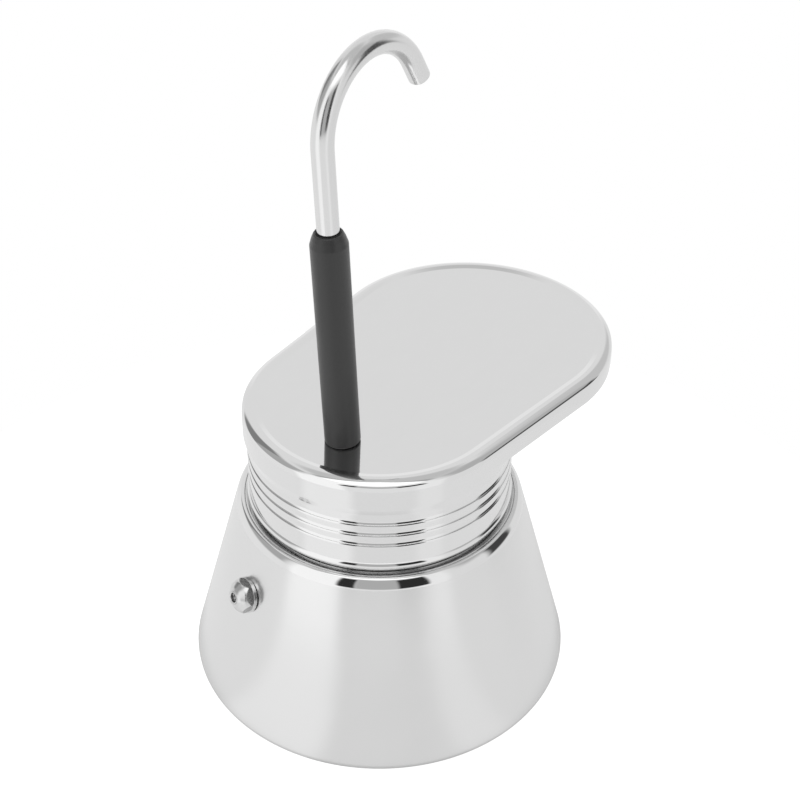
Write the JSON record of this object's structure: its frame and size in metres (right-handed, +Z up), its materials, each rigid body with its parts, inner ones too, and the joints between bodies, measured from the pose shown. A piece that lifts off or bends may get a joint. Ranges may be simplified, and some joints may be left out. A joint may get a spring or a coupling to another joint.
{
  "type": "moka pot",
  "caption": "Camping espresso maker: conical steel boiler with a funnel basket, screw-on head with an egg-shaped cup platform, and a bent spout with a black grip sleeve.",
  "frame": {"origin": "centre of the base, on the surface that the pot stands on", "axes": "+Z up along the boiler's axis, +X along the overhang of the cup platform"},
  "size_m": [0.1058, 0.084, 0.1464],
  "materials": {
    "satin_steel": "fine satin, blasted",
    "polished_steel": "mirror polished",
    "tube_steel": "bright drawn tube",
    "valve_metal": "turned, lightly matt",
    "spring_steel": "bright",
    "seal_silicone": "matt",
    "gasket_silicone": "matt, slightly translucent",
    "grip_rubber": "matt black with a soft sheen"
  },
  "bodies": {
    "boiler": {"boiler_shell": "satin_steel", "boiler_base": "satin_steel", "neck_ring": "satin_steel", "valve_body": "valve_metal", "valve_seal": "seal_silicone", "valve_nut": "valve_metal", "valve_spring": "spring_steel", "valve_cap": "valve_metal"},
    "valve_ball": {"valve_ball": "spring_steel"},
    "basket": {"basket_cup": "satin_steel", "basket_screen": "satin_steel", "basket_funnel": "satin_steel", "basket_stem": "satin_steel"},
    "gasket": {"gasket": "gasket_silicone"},
    "filter": {"filter_plate": "satin_steel"},
    "head": {"collar": "polished_steel", "thread_ring": "satin_steel", "brew_pan": "satin_steel", "platform_top": "polished_steel", "platform_underside": "satin_steel", "spout_boss": "satin_steel", "spout_seal": "seal_silicone", "spout_tube": "tube_steel", "spout_sleeve": "grip_rubber"}
  },
  "joints": [
    {"name": "valve_open", "type": "slide", "parent": "boiler", "child": "valve_ball", "axis": [-0.9253, 0.2688, 0.2674], "range_m": [0, 0.0007], "stiffness_N_per_m": 300, "springref_m": -0.002, "deforming": ["valve_spring"]},
    {"name": "basket_lift", "type": "slide", "parent": "boiler", "child": "basket", "axis": [0, 0, 1], "range_m": [0, 0.08]},
    {"name": "head_lift", "type": "slide", "parent": "basket", "child": "gasket", "axis": [0, 0, 1], "range_m": [0, 0.09]},
    {"name": "thread_rise", "type": "slide", "parent": "gasket", "child": "filter", "axis": [0, 0, 1], "range_m": [0, 0.0076]},
    {"name": "head_unscrew", "type": "hinge", "parent": "filter", "child": "head", "pos_m": [0, 0, 0.05], "axis": [0, 0, 1], "range_deg": [0, 900]}
  ],
  "couplings": [
    {"joint": "thread_rise", "follows": "head_unscrew", "m_per_rad": 0.00047746}
  ]
}
